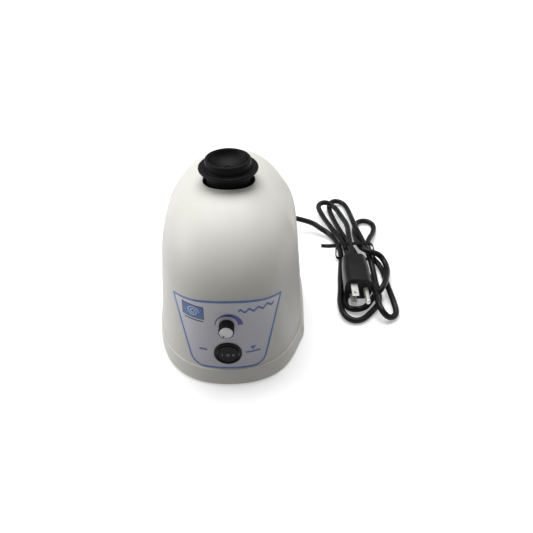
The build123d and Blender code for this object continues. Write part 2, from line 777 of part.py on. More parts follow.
pot_front = board_y - 7.0
with BuildPart() as potentiometer:
    with BuildSketch(Plane.XZ.offset(-board_y)):
        with Locations((0, knob_height)):
            Circle(7.5)
            with Locations((0, -5)):
                Rectangle(12, 6)
    extrude(amount=board_y - pot_front)
    with BuildSketch(Plane.XZ.offset(-board_y)):
        with Locations((0, knob_height)):
            Circle(3.2)
    extrude(amount=board_y - pot_front, mode=Mode.SUBTRACT)
save(potentiometer.part, "potentiometer")

board_back = board_y + 1.6
with BuildPart() as board_components:
    with BuildSketch(Plane.XZ.offset(-board_back)):  # two capacitors, choke, terminal block
        with Locations((-16, 60), (-16, 72)):
            RectangleRounded(14, 8, 1)
    extrude(amount=-10)
    with BuildSketch(Plane.XZ.offset(-board_back)):
        with Locations((4, 60)):
            Circle(8)
            Circle(3.5, mode=Mode.SUBTRACT)
    extrude(amount=-8)
    with BuildSketch(Plane.XZ.offset(-board_back)):
        with Locations((0, 83)):
            Rectangle(32, 8)
    extrude(amount=-9)
save(board_components.part, "board_components")

with BuildPart() as board_heatsink:
    with BuildSketch(Plane.XZ.offset(-board_back)):
        with Locations((20, 70)):
            Rectangle(2, 18)
        with Locations(*[(16.5, 62 + 4 * step) for step in range(5)]):
            Rectangle(6, 1.2)
    extrude(amount=-14)
save(board_heatsink.part, "board_heatsink")

knob_radius = 6.3
knob_back_y = spot_face_y - 0.6
knob_front_y = plinth_front - 5.6
cap_depth = 1.6
cap_radius = 5.4
with BuildPart() as knob_shaft:
    with BuildSketch(Plane.XZ.offset(-board_y + 1)):
        with Locations((0, knob_height)):
            Circle(3.0)
    extrude(amount=board_y - 1 - knob_front_y - 4)
save(knob_shaft.part, "knob_shaft")

with BuildPart() as knob_body:
    with BuildSketch(Plane.XZ.offset(-knob_back_y)):
        with Locations((0, knob_height)):
            Circle(knob_radius)
            with PolarLocations(knob_radius, 24):
                Circle(0.35, mode=Mode.SUBTRACT)
    extrude(amount=knob_back_y - knob_front_y - cap_depth + 0.8)
    with BuildSketch(Plane.XZ.offset(-knob_back_y)):
        with Locations((0, knob_height)):
            Circle(3.0)
    extrude(amount=knob_back_y - knob_front_y - 4, mode=Mode.SUBTRACT)
    with BuildSketch(Plane.XZ.offset(-knob_front_y)):
        with Locations((0, knob_height)):
            Circle(cap_radius + 0.05)
    extrude(amount=-cap_depth, mode=Mode.SUBTRACT)
save(knob_body.part, "knob_body")

# rest position: the pointer is at the minimum, 150 degrees anticlockwise from the top
pointer_angle = radians(240)
pointer_x = 3.6 * cos(pointer_angle)
pointer_z = 3.6 * sin(pointer_angle)
with BuildPart() as knob_cap:
    with BuildSketch(Plane.XZ.offset(-knob_front_y - cap_depth)):
        with Locations((0, knob_height)):
            Circle(cap_radius)
    extrude(amount=cap_depth)
    chamfer(faces().sort_by(Axis.Y)[0].edges(), 0.4)
    with BuildSketch(Plane.XZ.offset(-knob_front_y)):
        with Locations((pointer_x, knob_height + pointer_z)):
            Circle(0.7)
    extrude(amount=-0.5, mode=Mode.SUBTRACT)
save(knob_cap.part, "knob_cap")

# ---- round rocker switch ----------------------------------------------------------------------------
bezel_front_y = spot_face_y - 2.4
rocker_pivot_y = spot_face_y - 0.4
rocker_radius = 9.0
opening_radius = 9.6
pivot_radius = 1.0
pivot_reach = 9.95
with BuildPart() as switch_bezel:
    with BuildSketch(Plane.XZ.offset(-spot_face_y)):
        with Locations((0, switch_height)):
            Circle(11.6)
            Circle(opening_radius, mode=Mode.SUBTRACT)
    extrude(amount=spot_face_y - bezel_front_y)
    chamfer(faces().sort_by(Axis.Y)[0].edges(), 0.5)
    with BuildSketch(Plane.XY.offset(switch_height - pivot_reach - 0.15)):  # seats of the pivot
        with Locations((0, rocker_pivot_y)):
            Circle(pivot_radius + 0.1)
    extrude(amount=2 * pivot_reach + 0.3, mode=Mode.SUBTRACT)
save(switch_bezel.part, "switch_bezel")

with BuildPart() as switch_body:
    with BuildSketch(Plane.XZ.offset(-spot_face_y)):
        with Locations((0, switch_height)):
            Circle(10.0)
    extrude(amount=-18)
    with BuildSketch(Plane.XZ.offset(-spot_face_y)):
        with Locations((0, switch_height)):
            Circle(9.4)
    extrude(amount=-4.5, mode=Mode.SUBTRACT)
    with BuildSketch():
        with Locations((0, rocker_pivot_y)):
            Circle(pivot_radius + 0.1)
    extrude(amount=2 * switch_height, mode=Mode.SUBTRACT)
save(switch_body.part, "switch_body")

with BuildPart() as switch_rocker:
    with BuildSketch(Plane.XZ.offset(-rocker_pivot_y - 1.8)):
        with Locations((0, switch_height)):
            Circle(rocker_radius)
    extrude(amount=3.8)
    chamfer(edges().filter_by(GeomType.CIRCLE), 0.4)
    with BuildSketch(Plane.XY.offset(switch_height - pivot_reach)):  # pivot pins above and below
        with Locations((0, rocker_pivot_y)):
            Circle(pivot_radius)
    extrude(amount=2 * pivot_reach)
save(switch_rocker.part, "switch_rocker")

terminal_root_y = spot_face_y + 18
with BuildPart() as switch_terminals:
    with BuildSketch(Plane.XZ.offset(-terminal_root_y)):
        with Locations((-5, 35), (0, 35), (5, 35)):
            Rectangle(0.8, 4.8)
    extrude(amount=-8)
save(switch_terminals.part, "switch_terminals")


# ---- cord gland, internal wires and mains lead --------------------------------------------------
def corner_radii(points):
    """Bend radius at each inner point: 0.45 of the shorter run over the tangent of half the turn."""
    radii = []
    for before, here, after in zip(points, points[1:], points[2:]):
        into = Vector(*here) - Vector(*before)
        out = Vector(*after) - Vector(*here)
        turn = radians(into.get_angle(out))
        radii.append(0.45 * min(into.length, out.length) / tan(turn / 2))
    return radii


def tube(points, radius):
    radii = corner_radii(points)
    with BuildPart() as pipe:
        with BuildLine() as path:
            FilletPolyline(*points, radius=radii)
        with BuildSketch(Plane(origin=path.line @ 0, z_dir=path.line % 0)):
            Circle(radius)
        sweep(path=path.line)
    length = sum(edge.length for edge in path.line.edges())
    expected = pi * radius**2 * length
    print(
        "tube length", round(length, 1),
        "radii", [round(r, 1) for r in radii],
        "volume ratio", round(pipe.part.volume / expected, 4),
    )
    return pipe.part


housing_back_y = housing_size(gland_height)[2]
with BuildPart() as cord_gland:
    with BuildSketch(Plane.XZ.offset(-housing_back_y + wall + gland_inside)):
        with Locations((gland_x, gland_height)):
            Circle(5.0)
    extrude(amount=-wall - gland_inside - 0.4)
    with BuildSketch(Plane.XZ.offset(-housing_back_y - 0.4)):
        with Locations((gland_x, gland_height)):
            Circle(7.5)
    extrude(amount=-2.2)
    with BuildSketch(Plane.XZ.offset(-housing_back_y - 2.6)):
        with Locations((gland_x, gland_height)):
            Circle(5.2)
    extrude(amount=housing_back_y + 2.6 - gland_end_y, taper=2.2)
    with BuildSketch(Plane.XZ.offset(-housing_back_y + wall + gland_inside)):
        with Locations((gland_x, gland_height)):
            Circle(cord_diameter / 2)
    extrude(amount=-gland_end_y, mode=Mode.SUBTRACT)
save(cord_gland.part, "cord_gland")

with BuildPart() as gland_nut:
    with BuildSketch(Plane.XZ.offset(-housing_back_y + wall + 4.6)):
        with Locations((gland_x, gland_height)):
            RegularPolygon(7.6, 6)
            Circle(5.0, mode=Mode.SUBTRACT)
    extrude(amount=-3)
save(gland_nut.part, "gland_nut")

inner_wire = 1.1
terminal_end_y = terminal_root_y + 8.1
block_end_y = board_back + 9.1
supply_route = [
    (gland_x - 1.5, 79, 28), (14, 72, 24), (43, 69, 20), (47, 45, 19), (47.5, 0, 18.5),
    (44, -27, 22), (14, -41, 31), (5, -45, 35), (5, terminal_end_y, 35),
]
motor_route = [
    (gland_x + 1.5, 79, 28), (19, 72, 27), (44, 68, 26), (50, 44, 27), (50, 4, 28),
    (44, -26, 40), (20, -38, 66), (12, -44, 83), (12, block_end_y, 83),
]
switch_route = [
    (-5, terminal_end_y, 35), (-5, -45, 36), (-9, -42, 50), (-10, -43, 72), (-10, -47, 83),
    (-10, block_end_y, 83),
]
with BuildPart() as internal_wires:
    for route in (supply_route, motor_route, switch_route):
        add(tube(route, inner_wire))
save(internal_wires.part, "internal_wires")

# the lead's free stretch, from the gland to the side of the hank
lead_route = [
    (gland_x, gland_end_y, gland_height),
    (14, 135, 28),
    (24, 153, 25.5),
    (44, 162, 21),
    (66, 162.5, 16.5),
    (85, 160, 12),
    (97.5, 152, 9),
]
power_cord = tube(lead_route, cord_diameter / 2)
save(power_cord, "power_cord")

# ---- plug: flat blades one above the other, ground pin to the right of them -----------------
plug_x = 122.0
plug_z = 18.6
plug_face_y = 28.5
plug_body_end = 54.0
plug_neck_end = 64.0
plug_tail_end = 84.0
blade_x = 117.0
pin_x = 129.0
blade_spacing = 12.7
with BuildPart() as plug_body:
    with BuildSketch(Plane.XZ.offset(-plug_face_y)):
        with Locations((plug_x, plug_z)):
            RectangleRounded(26.5, 24.0, 8)
    extrude(amount=plug_face_y - plug_body_end)
    with BuildSketch(Plane.XZ.offset(-plug_body_end)) as neck_start:
        with Locations((plug_x, plug_z)):
            RectangleRounded(26.5, 24.0, 8)
    with BuildSketch(Plane.XZ.offset(-plug_neck_end)) as neck_end:
        with Locations((plug_x, plug_z)):
            RectangleRounded(13, 13, 5.5)
    loft(sections=[neck_start.sketch, neck_end.sketch])
    with BuildSketch(Plane.XZ.offset(-plug_neck_end)):
        with Locations((plug_x, plug_z)):
            Circle(5.5)
    extrude(amount=plug_neck_end - plug_tail_end, taper=4)
save(plug_body.part, "plug_body")

with BuildPart() as plug_blades:
    with BuildSketch(Plane.XY.offset(plug_z + blade_spacing / 2 - 0.75)):
        with Locations((blade_x, plug_face_y - 8.75)):
            Rectangle(6.35, 17.5)
        with Locations((blade_x, plug_face_y - 13.5)):
            Circle(1.6, mode=Mode.SUBTRACT)
    extrude(amount=1.5)
    with BuildSketch(Plane.XY.offset(plug_z - blade_spacing / 2 - 0.75)):
        with Locations((blade_x, plug_face_y - 8.75)):
            Rectangle(6.35, 17.5)
        with Locations((blade_x, plug_face_y - 13.5)):
            Circle(1.6, mode=Mode.SUBTRACT)
    extrude(amount=1.5)
save(plug_blades.part, "plug_blades")

with BuildPart() as plug_ground_pin:
    with BuildSketch(Plane.XZ.offset(-plug_face_y)):
        with Locations((pin_x, plug_z)):
            Circle(2.4)
    extrude(amount=21.4)
    fillet(faces().sort_by(Axis.Y)[0].edges(), 1.6)
save(plug_ground_pin.part, "plug_ground_pin")

# ---- hank: the outer form of the lead's loose turns, with room for the plug on top ----------
hank_low = 10.0
hank_high = 20.0
tie_y = 104.0
hank_outline = [
    (93, 150), (90, 185), (95, 207), (108, 216), (120, 220), (129, 208), (134, 190), (146, 181),
    (159, 168), (153, 146), (147, 122), (149, 104), (160, 84), (159, 45), (161, 12), (148, -2),
    (133, 0), (116, -4), (104, 7), (102, 30), (105, 62), (110, 90), (108, 120),
]
with BuildPart() as cord_hank:
    with BuildSketch():
        with BuildLine():
            Spline(*hank_outline, periodic=True)
        make_face()
    extrude(amount=hank_low)
    with BuildSketch(Plane.XY.offset(hank_low)):
        with BuildLine():
            Spline((112, 84), (109, 104), (104, 140), (112, 190), (126, 180), (140, 140), (143, 104), (144, 84))
            Line((144, 84), (112, 84))
        make_face()
    extrude(amount=hank_high - hank_low)
    with BuildSketch(Plane.XY.offset(plug_z - 12.0)):  # room for the plug
        with Locations((plug_x, plug_face_y + 14)):
            Rectangle(27.5, 84 - plug_face_y - 27.5)
        with Locations((plug_x, (plug_face_y + 84) / 2)):
            Rectangle(27.5, 84 - plug_face_y)
    extrude(amount=40, mode=Mode.SUBTRACT)
    with BuildSketch(Plane.XY.offset(plug_z - 9.5)):  # and for its lower blade
        with Locations((plug_x, plug_face_y - 10)):
            Rectangle(30, 22)
    extrude(amount=40, mode=Mode.SUBTRACT)
save(cord_hank.part, "cord_hank")

with BuildPart() as cord_tie:
    with BuildSketch(Plane.XZ.offset(-tie_y + 2)):
        with Locations((127, 11.2)):
            RectangleRounded(42, 22, 6)
            RectangleRounded(40.4, 20.4, 5.2, mode=Mode.SUBTRACT)
    extrude(amount=-4)
    with BuildSketch(Plane.XY.offset(8)):
        with BuildLine():
            Polyline(
                (107.5, tie_y - 2), (107.5, tie_y + 2), (93, tie_y + 13), (91, tie_y + 9.5), close=True
            )
        make_face()
    extrude(amount=1.0)
save(cord_tie.part, "cord_tie")
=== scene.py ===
from math import atan2, cos, pi, radians, sin

import bmesh
import bpy
from mathutils import Matrix, Vector
from mathutils.bvhtree import BVHTree


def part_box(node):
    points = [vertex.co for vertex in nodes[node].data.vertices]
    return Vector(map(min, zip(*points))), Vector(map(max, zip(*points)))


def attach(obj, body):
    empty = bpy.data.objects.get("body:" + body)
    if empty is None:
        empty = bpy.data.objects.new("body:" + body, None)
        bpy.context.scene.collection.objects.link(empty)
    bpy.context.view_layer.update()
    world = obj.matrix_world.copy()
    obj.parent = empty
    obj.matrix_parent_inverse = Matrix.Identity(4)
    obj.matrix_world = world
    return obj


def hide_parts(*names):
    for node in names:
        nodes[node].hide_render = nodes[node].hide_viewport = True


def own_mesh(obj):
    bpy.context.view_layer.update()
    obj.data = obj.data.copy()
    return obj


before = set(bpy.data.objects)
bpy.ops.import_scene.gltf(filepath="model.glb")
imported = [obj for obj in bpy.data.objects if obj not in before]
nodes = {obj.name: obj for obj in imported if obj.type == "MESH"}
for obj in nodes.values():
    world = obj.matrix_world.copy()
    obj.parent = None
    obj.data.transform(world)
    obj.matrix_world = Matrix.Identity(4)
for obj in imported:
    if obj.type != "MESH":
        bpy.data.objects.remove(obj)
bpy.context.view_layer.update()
scene = bpy.context.scene
mm = 0.001
print("frame loaded:", len(nodes), "nodes")


def link(name, data):
    piece = bpy.data.objects.new(name, data)
    scene.collection.objects.link(piece)
    return piece


def meshPiece(name, bm, material, smooth=True):
    mesh = bpy.data.meshes.new(name)
    bm.to_mesh(mesh)
    bm.free()
    for face in mesh.polygons:
        face.use_smooth = smooth
    mesh.materials.append(material)
    return link(name, mesh)


def rotateAll(bm, angle, axis):
    bmesh.ops.rotate(bm, verts=bm.verts, cent=(0, 0, 0), matrix=Matrix.Rotation(angle, 3, axis))


def roundCorners(bm, corners, radius, segments):
    bmesh.ops.bevel(
        bm, geom=corners, offset=radius * mm, segments=segments, profile=0.5, affect="VERTICES",
        material=-1,
    )


def hollowFace(bm, width):  # leaves a band this wide along the edge of a single face
    middle = bm.faces[:]
    bmesh.ops.inset_individual(bm, faces=middle, thickness=width * mm, use_even_offset=True)
    bmesh.ops.delete(bm, geom=middle, context="FACES")


# camera in front of the machine and above it, looking down
shot = {"place": (0.032, -0.4716, 0.412), "tilt": 53.8, "lens": 43.9, "sensor": 36.0, "nearest": 0.01}
cameraData = bpy.data.cameras.new("benchCamera")
cameraData.lens = shot["lens"]
cameraData.sensor_width = shot["sensor"]
cameraData.clip_start = shot["nearest"]
camera = link("benchCamera", cameraData)
camera.location = shot["place"]
camera.rotation_euler = (radians(shot["tilt"]), 0, 0)
scene.camera = camera
print("camera placed")

# finishes: every one has its colour drifting a little, its own gloss and its own grain; the panel film's
# colour darkens towards its foot instead, as painted shade
usual = {"driftScale": 40, "glossScale": 120, "grainStrength": 0.3, "shader": {}}
noiseLow, noiseHigh = 0.3, 0.7  # most of a noise texture lies between these


def noise(tree, vector, scale, detail=3.0):
    texture = tree.nodes.new("ShaderNodeTexNoise")
    texture.inputs["Scale"].default_value = scale
    texture.inputs["Detail"].default_value = detail
    tree.links.new(vector, texture.inputs["Vector"])
    return texture.outputs["Fac"]


def spread(tree, value, low, high, outLow, outHigh):
    remap = tree.nodes.new("ShaderNodeMapRange")
    for socket, number in zip(("From Min", "From Max", "To Min", "To Max"), (low, high, outLow, outHigh)):
        remap.inputs[socket].default_value = number
    tree.links.new(value, remap.inputs["Value"])
    return remap.outputs["Result"]


def blendColours(tree, factor, first, second):
    ramp = tree.nodes.new("ShaderNodeValToRGB")
    ramp.color_ramp.elements[0].color = (*first, 1)
    ramp.color_ramp.elements[1].color = (*second, 1)
    tree.links.new(factor, ramp.inputs["Fac"])
    return ramp.outputs["Color"]


def makeFinish(name, ownLook):
    look = {**usual, **ownLook}
    material = bpy.data.materials.new(name)
    material.use_nodes = True
    tree = material.node_tree
    shader = tree.nodes["Principled BSDF"]
    for socket, number in look["shader"].items():
        shader.inputs[socket].default_value = number
    place = tree.nodes.new("ShaderNodeTexCoord").outputs["Object"]
    if "stretch" in look:
        mapping = tree.nodes.new("ShaderNodeMapping")
        mapping.inputs["Scale"].default_value = look["stretch"]
        tree.links.new(place, mapping.inputs["Vector"])
        place = mapping.outputs["Vector"]
    if "paintedShadeFade" in look:  # the colour at the foot, darker than the tint higher up, is painted shade
        low, high = look["paintedShadeFade"]
        parts = tree.nodes.new("ShaderNodeSeparateXYZ")
        tree.links.new(place, parts.inputs["Vector"])
        driftAndPaintedShade = spread(tree, parts.outputs["Z"], low, high, 0, 1)
    else:
        driftAndPaintedShade = spread(tree, noise(tree, place, look["driftScale"]), noiseLow, noiseHigh, 0, 1)
    colour = blendColours(tree, driftAndPaintedShade, look["colour"], look["tint"])
    tree.links.new(colour, shader.inputs["Base Color"])
    low, high = look["rough"]
    gloss = spread(tree, noise(tree, place, look["glossScale"]), noiseLow, noiseHigh, low, high)
    tree.links.new(gloss, shader.inputs["Roughness"])
    if "bands" in look:  # stacked sheets or wound wire
        bands = tree.nodes.new("ShaderNodeTexWave")
        bands.bands_direction, bands.inputs["Scale"].default_value = look["bands"]
        tree.links.new(place, bands.inputs["Vector"])
        height = bands.outputs["Fac"]
    else:
        height = noise(tree, place, look["grain"], detail=2.0)
    bump = tree.nodes.new("ShaderNodeBump")
    bump.inputs["Strength"].default_value = look["grainStrength"]
    bump.inputs["Distance"].default_value = look["grainDepth"]
    tree.links.new(height, bump.inputs["Height"])
    tree.links.new(bump.outputs["Normal"], shader.inputs["Normal"])
    return material


looks = {
    "off_white_abs": {
        "colour": (0.80, 0.79, 0.735), "tint": (0.78, 0.77, 0.715), "driftScale": 9,
        "rough": (0.40, 0.52), "grain": 2200, "grainDepth": 0.00004, "grainStrength": 0.25,
        "shader": {"Specular IOR Level": 0.4, "Coat Weight": 0.05, "Coat Roughness": 0.35},
    },
    "overlay": {
        # the film is darker towards its foot than higher up: painted shade
        "colour": (0.65, 0.645, 0.735), "tint": (0.78, 0.775, 0.82), "paintedShadeFade": (0.02, 0.075),
        "rough": (0.3, 0.4), "grain": 1800, "grainDepth": 0.00002,
        "shader": {"Coat Weight": 0.15, "Coat Roughness": 0.2},
    },
    "black_rubber": {
        "colour": (0.0045, 0.0045, 0.0048), "tint": (0.008, 0.008, 0.0084), "driftScale": 60,
        "rough": (0.42, 0.58), "grain": 1500, "grainDepth": 0.00005, "shader": {"Specular IOR Level": 0.11},
    },
    "black_plastic": {
        "colour": (0.006, 0.006, 0.0065), "tint": (0.011, 0.011, 0.0115), "driftScale": 50,
        "rough": (0.36, 0.48), "grain": 2400, "grainDepth": 0.00003, "shader": {"Specular IOR Level": 0.13},
    },
    "silver_cap": {
        "colour": (0.60, 0.60, 0.60), "tint": (0.66, 0.66, 0.65), "driftScale": 300, "rough": (0.34, 0.45),
        "stretch": (1, 6, 1), "grain": 1600, "grainDepth": 0.00002, "shader": {"Metallic": 0.25},
    },
    "white_nylon": {
        "colour": (0.78, 0.78, 0.72), "tint": (0.72, 0.72, 0.66), "rough": (0.45, 0.6),
        "grain": 900, "grainDepth": 0.00005,
    },
    "black_cord": {
        "colour": (0.005, 0.005, 0.0055), "tint": (0.009, 0.009, 0.0095), "driftScale": 70,
        "rough": (0.32, 0.44), "grain": 900, "grainDepth": 0.00004, "shader": {"Specular IOR Level": 0.26},
    },
    "plated_steel": {
        "colour": (0.86, 0.85, 0.81), "tint": (0.80, 0.79, 0.75), "driftScale": 90, "rough": (0.3, 0.4),
        "grain": 900, "grainDepth": 0.000003, "grainStrength": 0.15, "shader": {"Metallic": 0.8},
    },
    "bearing_steel": {
        "colour": (0.56, 0.56, 0.56), "tint": (0.62, 0.62, 0.61), "rough": (0.2, 0.34),
        "stretch": (1, 1, 12), "grain": 700, "grainDepth": 0.00003, "shader": {"Metallic": 1.0},
    },
    "cast_iron": {
        "colour": (0.10, 0.10, 0.11), "tint": (0.15, 0.15, 0.15), "driftScale": 80, "rough": (0.6, 0.8),
        "grain": 650, "grainDepth": 0.0002, "grainStrength": 0.5,
    },
    "sheet_steel": {
        "colour": (0.45, 0.46, 0.48), "tint": (0.53, 0.53, 0.52), "driftScale": 90, "rough": (0.3, 0.5),
        "grain": 300, "grainDepth": 0.00003, "bands": ("Z", 320), "shader": {"Metallic": 1.0},
    },
    "cast_aluminium": {
        "colour": (0.60, 0.61, 0.63), "tint": (0.52, 0.53, 0.55), "rough": (0.42, 0.6),
        "grain": 800, "grainDepth": 0.00012, "shader": {"Metallic": 1.0},
    },
    "copper": {
        "colour": (0.55, 0.20, 0.07), "tint": (0.43, 0.14, 0.05), "driftScale": 150, "rough": (0.25, 0.4),
        "grain": 400, "grainDepth": 0.0002, "bands": ("Z", 380), "shader": {"Metallic": 0.9},
    },
    "brass": {
        "colour": (0.66, 0.48, 0.19), "tint": (0.58, 0.41, 0.15), "rough": (0.22, 0.36),
        "grain": 900, "grainDepth": 0.00003, "shader": {"Metallic": 1.0},
    },
    "green_board": {
        "colour": (0.02, 0.17, 0.07), "tint": (0.03, 0.22, 0.10), "driftScale": 220, "rough": (0.3, 0.42),
        "grain": 1400, "grainDepth": 0.00003,
    },
    "component_blue": {
        "colour": (0.04, 0.09, 0.33), "tint": (0.05, 0.12, 0.38), "rough": (0.28, 0.4),
        "grain": 900, "grainDepth": 0.00003,
    },
    "wire": {
        "colour": (0.30, 0.05, 0.04), "tint": (0.24, 0.04, 0.03), "rough": (0.35, 0.5),
        "grain": 900, "grainDepth": 0.00003,
    },
}
finishes = {slot: makeFinish(slot + "Finish", look) for slot, look in looks.items()}
for piece in nodes.values():
    slotName = piece.material_slots[0].material.name.split(".")[0]
    piece.material_slots[0].material = finishes[slotName]
print("finishes made:", len(finishes))

# mains cord: one smooth line from the gland, down on to the bench and through the hank to the plug
cordLook = {"diameter": 0.006, "length": 1.5, "around": 6, "along": 12, "order": 3}
cordRoute = [
    (0.0140, 0.1153, 0.0280), (0.0140, 0.1350, 0.0280), (0.0240, 0.1530, 0.0255), (0.0440, 0.1620, 0.0210),
    (0.0660, 0.1625, 0.0165), (0.0850, 0.1600, 0.0120), (0.0927, 0.1531, 0.0094), (0.1033, 0.1477, 0.0051),
    (0.1112, 0.1281, 0.0060), (0.1137, 0.1065, 0.0040), (0.1115, 0.0886, 0.0030), (0.1087, 0.0661, 0.0033),
    (0.1075, 0.0474, 0.0030), (0.1043, 0.0253, 0.0034), (0.1062, 0.0059, 0.0050), (0.1145, -0.0013, 0.0031),
    (0.1247, 0.0008, 0.0031), (0.1339, 0.0117, 0.0031), (0.1454, 0.0276, 0.0031), (0.1442, 0.0574, 0.0031),
    (0.1442, 0.0861, 0.0050), (0.1403, 0.0973, 0.0150), (0.1376, 0.1238, 0.0120), (0.1326, 0.1511, 0.0123),
    (0.1295, 0.2110, 0.0031), (0.1215, 0.2205, 0.0050), (0.1105, 0.2180, 0.0060), (0.1068, 0.2060, 0.0031),
    (0.1111, 0.1759, 0.0045), (0.1168, 0.1398, 0.0095), (0.1240, 0.1117, 0.0114), (0.1309, 0.0845, 0.0105),
    (0.1381, 0.0730, 0.0031), (0.1396, 0.0384, 0.0114), (0.1401, 0.0056, 0.0140), (0.1486, 0.0002, 0.0049),
    (0.1586, 0.0081, 0.0031), (0.1572, 0.0244, 0.0064), (0.1551, 0.0541, 0.0049), (0.1542, 0.0864, 0.0031),
    (0.1446, 0.0956, 0.0089), (0.1425, 0.1154, 0.0093), (0.1449, 0.1295, 0.0082), (0.1549, 0.1526, 0.0041),
    (0.1567, 0.1710, 0.0031), (0.1471, 0.1784, 0.0040), (0.1354, 0.1731, 0.0031), (0.1309, 0.1448, 0.0051),
    (0.1318, 0.1033, 0.0169), (0.1403, 0.0922, 0.0188), (0.1523, 0.0941, 0.0142), (0.1584, 0.0843, 0.0083),
    (0.1573, 0.0661, 0.0094), (0.1480, 0.0352, 0.0160), (0.1370, 0.0329, 0.0031), (0.1289, 0.0150, 0.0060),
    (0.1157, 0.0130, 0.0049), (0.1092, 0.0220, 0.0031), (0.1122, 0.0391, 0.0032), (0.1160, 0.0655, 0.0031),
    (0.1203, 0.0869, 0.0066), (0.1178, 0.1016, 0.0148), (0.1130, 0.1283, 0.0116), (0.1035, 0.1592, 0.0096),
    (0.0965, 0.1830, 0.0090), (0.0926, 0.1990, 0.0121), (0.1030, 0.2060, 0.0133), (0.1150, 0.1990, 0.0082),
    (0.1190, 0.1760, 0.0110), (0.1235, 0.1480, 0.0165), (0.1215, 0.1180, 0.0200), (0.1220, 0.0980, 0.0190),
    (0.1220, 0.0840, 0.0186),
]


def mainsCord(look, route):
    curve = bpy.data.curves.new("mainsCord", "CURVE")
    curve.dimensions = "3D"
    curve.bevel_depth = look["diameter"] / 2
    curve.bevel_resolution = look["around"]
    curve.use_fill_caps = True
    line = curve.splines.new("NURBS")
    line.points.add(len(route) - 1)
    for point, place in zip(line.points, route):
        point.co = (*place, 1)
    line.order_u = look["order"]
    line.use_endpoint_u = True
    line.resolution_u = look["along"]
    line.use_smooth = True
    curve.materials.append(finishes["black_cord"])
    return link("mainsCord", curve)


cord = mainsCord(cordLook, cordRoute)
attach(cord, "root")
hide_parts("power_cord", "cord_hank")
print("cord laid")


def turned(name, profile, centre, axis, material, steps):
    # profile holds (radius, distance along the axis) pairs, in millimetres
    bm = bmesh.new()
    foot, out, along = Vector(centre), Vector((1, 0, 0)), Vector(axis)
    ring = [bm.verts.new(foot + out * radius * mm + along * rise * mm) for radius, rise in profile]
    edges = [bm.edges.new(pair) for pair in zip(ring, ring[1:])]
    bmesh.ops.spin(
        bm, geom=ring + edges, cent=centre, axis=axis, angle=2 * pi, steps=steps,
        use_merge=True, use_duplicate=False,
    )
    bmesh.ops.remove_doubles(bm, verts=bm.verts, dist=1e-6)
    bmesh.ops.dissolve_degenerate(bm, edges=bm.edges, dist=1e-7)
    bmesh.ops.recalc_face_normals(bm, faces=bm.faces)
    return meshPiece(name, bm, material)


# strain relief round the cord's exit: a flange, a short neck and a taper cut by grooves
reliefLook = {
    "bore": 3.05, "root": 5.4, "tip": 4.2, "length": 27.6, "ribs": 6, "firstRib": 4.0, "lastPlain": 2.0,
    "flange": [(7.0, 0), (7.5, 0.5), (7.5, 1.6), (6.9, 2.2), (5.7, 2.4), (5.4, 3.0)],
    "groove": [(0, 0), (0.55, 0.35), (0.55, 1.15), (0.05, 1.5)],  # depth, and distance along
    "end": [(4.2, 27.0), (3.8, 27.6)], "steps": 56,
}


def strainRelief(look, start):
    bore, length = look["bore"], look["length"]
    pitch = (length - look["firstRib"] - look["lastPlain"]) / look["ribs"]
    profile = [(bore, 0), *look["flange"]]
    for rib in range(look["ribs"]):
        rise = look["firstRib"] + rib * pitch
        radius = look["root"] + (look["tip"] - look["root"]) * rise / length
        profile += [(radius - depth, rise + along) for depth, along in look["groove"]]
    profile += [*look["end"], (bore, length), (bore, 0)]
    return turned("strainRelief", profile, start, (0, 1, 0), finishes["black_rubber"], look["steps"])


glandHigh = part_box("cord_gland")[1]
reliefStart = (cordRoute[0][0], glandHigh.y - reliefLook["length"] * mm, cordRoute[0][2])
relief = strainRelief(reliefLook, reliefStart)
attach(relief, "root")
print("strain relief turned")

# flat tie round the hank, with its tail lying out to the left
tieLook = {
    "low": (106.5, 0.35), "high": (147.5, 21.6), "y": 104, "width": 4.6, "thickness": 0.8,
    "rounding": 7, "segments": 8, "tailHalf": (0.5, 1.7),
    "tail": [(112.0, 106.6, 19.5), (107.0, 110.4, 14.0), (99.5, 114.0, 11.0), (92.0, 117.6, 9.0)],
}


def tieRing(look):
    bm = bmesh.new()
    (lowX, lowZ), (highX, highZ) = look["low"], look["high"]
    places = [(lowX, lowZ), (highX, lowZ), (highX, highZ), (lowX, highZ)]
    corners = [bm.verts.new((x * mm, (look["y"] - look["width"] / 2) * mm, z * mm)) for x, z in places]
    bm.faces.new(corners)
    roundCorners(bm, corners, look["rounding"], look["segments"])
    hollowFace(bm, look["thickness"])
    grown = bmesh.ops.extrude_face_region(bm, geom=bm.faces[:])["geom"]
    moved = [item for item in grown if isinstance(item, bmesh.types.BMVert)]
    bmesh.ops.translate(bm, verts=moved, vec=(0, look["width"] * mm, 0))
    bmesh.ops.recalc_face_normals(bm, faces=bm.faces)
    return bm


def tieTail(look):  # a unit cube cut into lengths, each cut moved to its place on the tail
    bm = bmesh.new()
    thin, wide = look["tailHalf"]
    bmesh.ops.create_cube(bm, size=1)
    lengthwise = [edge for edge in bm.edges if edge.verts[0].co.x != edge.verts[1].co.x]
    bmesh.ops.subdivide_edges(bm, edges=lengthwise, cuts=len(look["tail"]) - 2, use_grid_fill=True)
    for vertex in bm.verts:
        across, up = vertex.co.y, vertex.co.z
        place = round((vertex.co.x + 0.5) * (len(look["tail"]) - 1))
        x, y, z = look["tail"][place]
        vertex.co = Vector((x, y + across * 2 * wide, z + up * 2 * thin + across * wide)) * mm
    bmesh.ops.recalc_face_normals(bm, faces=bm.faces)
    return bm


for name, bm in (("tieRing", tieRing(tieLook)), ("tieTail", tieTail(tieLook))):
    tie = meshPiece(name, bm, finishes["black_plastic"], smooth=False)
    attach(tie, "root")
    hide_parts("cord_tie")
print("tie fastened")
